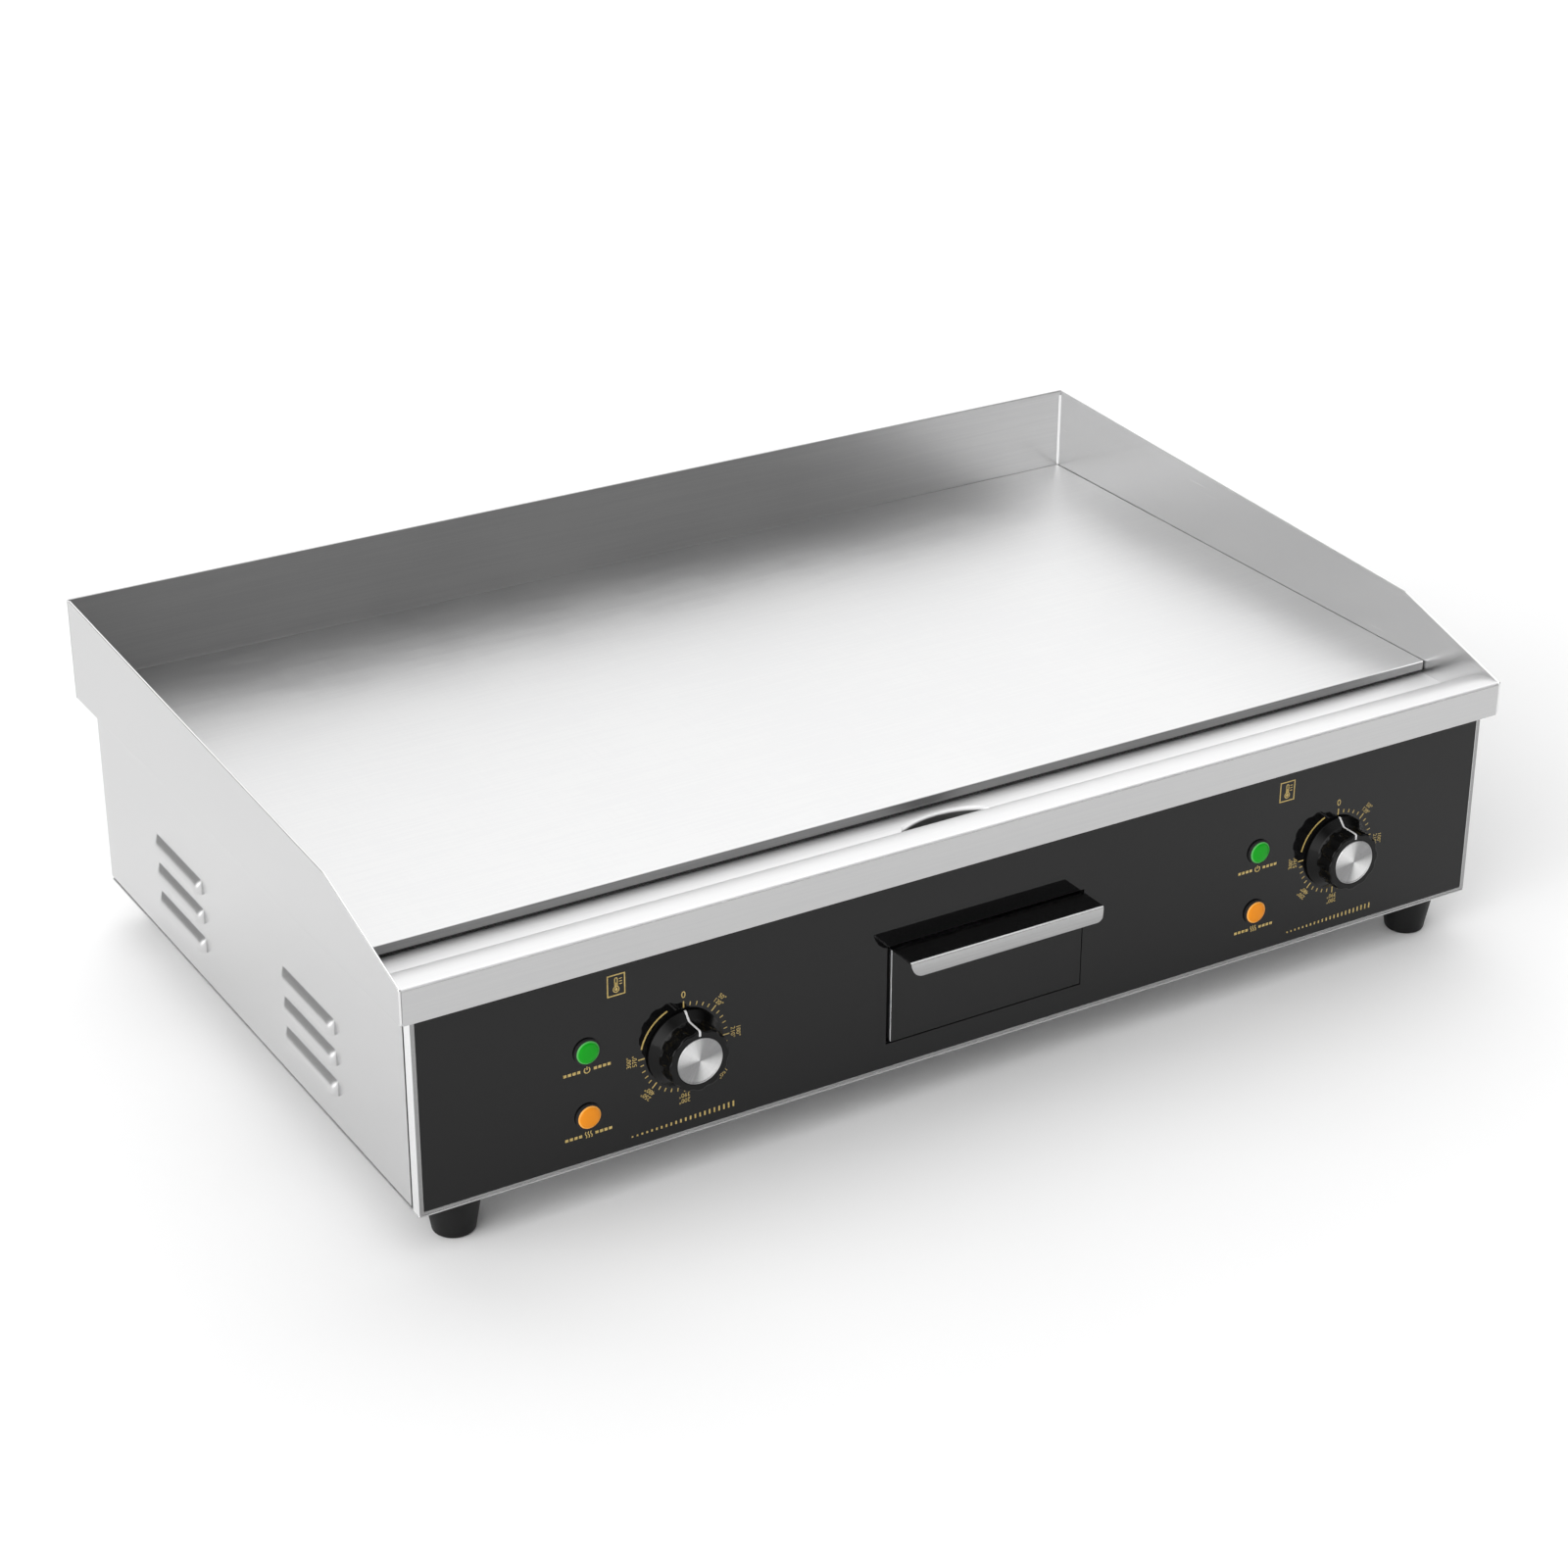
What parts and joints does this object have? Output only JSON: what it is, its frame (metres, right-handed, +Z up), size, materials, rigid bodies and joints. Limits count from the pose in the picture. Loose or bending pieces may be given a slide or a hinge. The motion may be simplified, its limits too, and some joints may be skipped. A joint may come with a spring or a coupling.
{
  "type": "electric griddle",
  "caption": "Countertop electric griddle: thick steel plate in a three-sided splash guard, drip gutter with drain, grease drawer, turning thermostat knobs, rubber feet.",
  "frame": {"origin": "on the standing surface, below the middle of the tray, which is the middle of the whole object's box", "axes": "+X to the right as seen by the cook, +Y from the controls to the rear wall, +Z up"},
  "size_m": [0.73, 0.488, 0.2124],
  "materials": {
    "steel_body": "satin",
    "steel_frame": "satin",
    "steel_guard": "satin",
    "steel_inner": "mill",
    "cooking_steel": "ground",
    "gloss_black": "gloss",
    "knob_black": "moulded gloss",
    "spun_metal": "spun",
    "lens_green": "gloss",
    "lens_amber": "gloss",
    "holder_white": "matte",
    "thermostat_shell": "matte",
    "copper": "drawn",
    "element_sheath": "oxidised",
    "white_ceramic": "matte",
    "zinc_fastener": "zinc plated",
    "blanket": "fibre",
    "gland_black": "moulded",
    "foot_rubber": "matte",
    "wire_sleeve": "satin"
  },
  "bodies": {
    "housing": {"base_plate": "steel_body", "left_side_panel": "steel_body", "right_side_panel": "steel_body", "rear_panel": "steel_body", "front_frame": "steel_frame", "control_fascia": "gloss_black", "rear_splash_wall": "steel_guard", "left_splash_wall": "steel_guard", "right_splash_wall": "steel_guard", "drip_trough": "steel_guard", "plate_rails": "steel_inner", "griddle_plate": "cooking_steel", "plate_studs": "zinc_fastener", "drain_spout": "steel_inner", "drawer_rail_left": "steel_inner", "drawer_rail_right": "steel_inner", "left_thermostat": "thermostat_shell", "right_thermostat": "thermostat_shell", "thermostat_screws": "zinc_fastener", "left_capillary": "copper", "right_capillary": "copper", "left_thermal_cutout": "white_ceramic", "right_thermal_cutout": "white_ceramic", "left_green_lens": "lens_green", "right_green_lens": "lens_green", "left_amber_lens": "lens_amber", "right_amber_lens": "lens_amber", "lamp_holders": "holder_white", "left_heating_element": "element_sheath", "right_heating_element": "element_sheath", "terminal_bushes": "white_ceramic", "clamp_bars": "steel_inner", "clamp_nuts": "zinc_fastener", "heat_shield": "steel_inner", "insulation_blanket": "blanket", "terminal_block": "white_ceramic", "earth_stud": "copper", "cable_gland": "gland_black", "gland_nut": "gland_black", "foot_front_left": "foot_rubber", "foot_front_right": "foot_rubber", "foot_rear_left": "foot_rubber", "foot_rear_right": "foot_rubber", "foot_bolts": "zinc_fastener", "foot_nuts": "zinc_fastener", "body_screws": "zinc_fastener", "control_wires": "wire_sleeve"},
    "drawer": {"drawer_tray": "steel_inner", "drawer_front": "steel_frame", "drawer_face": "gloss_black", "drawer_handle": "steel_frame", "drawer_screws": "zinc_fastener"},
    "left_dial": {"left_knob": "knob_black", "left_knob_cap": "spun_metal", "left_thermostat_shaft": "zinc_fastener"},
    "right_dial": {"right_knob": "knob_black", "right_knob_cap": "spun_metal", "right_thermostat_shaft": "zinc_fastener"}
  },
  "joints": [
    {"name": "drawer_slide", "type": "slide", "parent": "housing", "child": "drawer", "axis": [0, -1, 0], "range_m": [0, 0.145]},
    {"name": "left_dial_turn", "type": "hinge", "parent": "housing", "child": "left_dial", "pos_m": [-0.1975, -0.2346, 0.082], "axis": [0, 1, 0], "range_deg": [0, 270]},
    {"name": "right_dial_turn", "type": "hinge", "parent": "housing", "child": "right_dial", "pos_m": [0.2505, -0.2346, 0.082], "axis": [0, 1, 0], "range_deg": [0, 270]}
  ]
}
